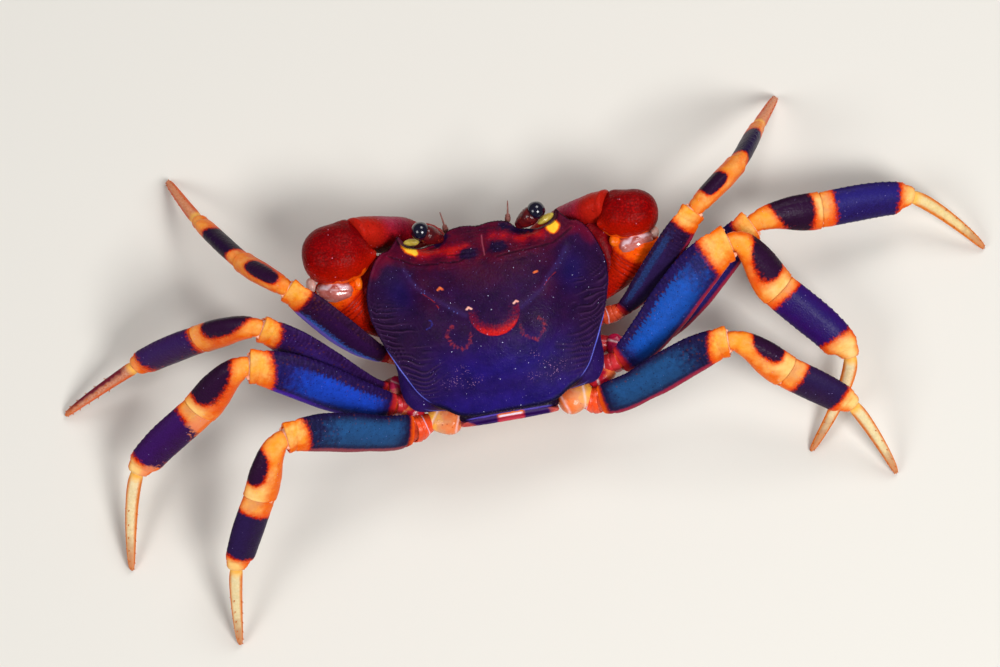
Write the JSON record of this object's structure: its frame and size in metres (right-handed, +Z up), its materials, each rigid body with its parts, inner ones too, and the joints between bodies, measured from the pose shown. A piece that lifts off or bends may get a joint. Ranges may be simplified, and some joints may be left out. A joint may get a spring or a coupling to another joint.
{
  "type": "sri lanka tree-climbing crab",
  "caption": "Still life-size model of a purple tree-climbing crab with red claws and banded orange legs, standing as in life.",
  "frame": {"origin": "on the floor, under the middle of the crab's span from side to side and from front to rear", "axes": "+X to the crab's left along its widest span, -Y ahead of its face, +Z up"},
  "size_m": [0.1194, 0.0606, 0.0217],
  "materials": {
    "carapace": "waxy shell, deep purple",
    "thorax": "waxy shell, pale orange-cream",
    "pleon": "waxy shell, violet",
    "mouth": "waxy shell, dark red",
    "eyestalk": "waxy shell, maroon",
    "cornea": "wet, glossy black",
    "antenna": "thin, reddish",
    "claw": "finely granular shell, bright red",
    "leg_base": "waxy shell, orange-red",
    "merus": "waxy shell, blue with a red-orange end",
    "carpus": "waxy shell, orange with a dark oval",
    "propodus": "waxy shell, orange with a dark purple band",
    "dactyl": "horny, cream to orange"
  },
  "bodies": {
    "root": {"carapace": "carapace", "thorax": "thorax", "pleon": "pleon", "mouth_cover_left": "mouth", "eyestalk_left": "eyestalk", "cornea_left": "cornea", "antenna_left": "antenna", "claw_left_merus": "claw", "claw_left_carpus": "claw", "claw_left_palm": "claw", "claw_left_finger": "claw", "leg_left_1_base": "leg_base", "leg_left_1_merus": "merus", "leg_left_1_carpus": "carpus", "leg_left_1_propodus": "propodus", "leg_left_1_dactyl": "dactyl", "leg_left_2_base": "leg_base", "leg_left_2_merus": "merus", "leg_left_2_carpus": "carpus", "leg_left_2_propodus": "propodus", "leg_left_2_dactyl": "dactyl", "leg_left_3_base": "leg_base", "leg_left_3_merus": "merus", "leg_left_3_carpus": "carpus", "leg_left_3_propodus": "propodus", "leg_left_3_dactyl": "dactyl", "leg_left_4_base": "leg_base", "leg_left_4_merus": "merus", "leg_left_4_carpus": "carpus", "leg_left_4_propodus": "propodus", "leg_left_4_dactyl": "dactyl", "mouth_cover_right": "mouth", "eyestalk_right": "eyestalk", "cornea_right": "cornea", "antenna_right": "antenna", "claw_right_merus": "claw", "claw_right_carpus": "claw", "claw_right_palm": "claw", "claw_right_finger": "claw", "leg_right_1_base": "leg_base", "leg_right_1_merus": "merus", "leg_right_1_carpus": "carpus", "leg_right_1_propodus": "propodus", "leg_right_1_dactyl": "dactyl", "leg_right_2_base": "leg_base", "leg_right_2_merus": "merus", "leg_right_2_carpus": "carpus", "leg_right_2_propodus": "propodus", "leg_right_2_dactyl": "dactyl", "leg_right_3_base": "leg_base", "leg_right_3_merus": "merus", "leg_right_3_carpus": "carpus", "leg_right_3_propodus": "propodus", "leg_right_3_dactyl": "dactyl", "leg_right_4_base": "leg_base", "leg_right_4_merus": "merus", "leg_right_4_carpus": "carpus", "leg_right_4_propodus": "propodus", "leg_right_4_dactyl": "dactyl"}
  },
  "joints": []
}
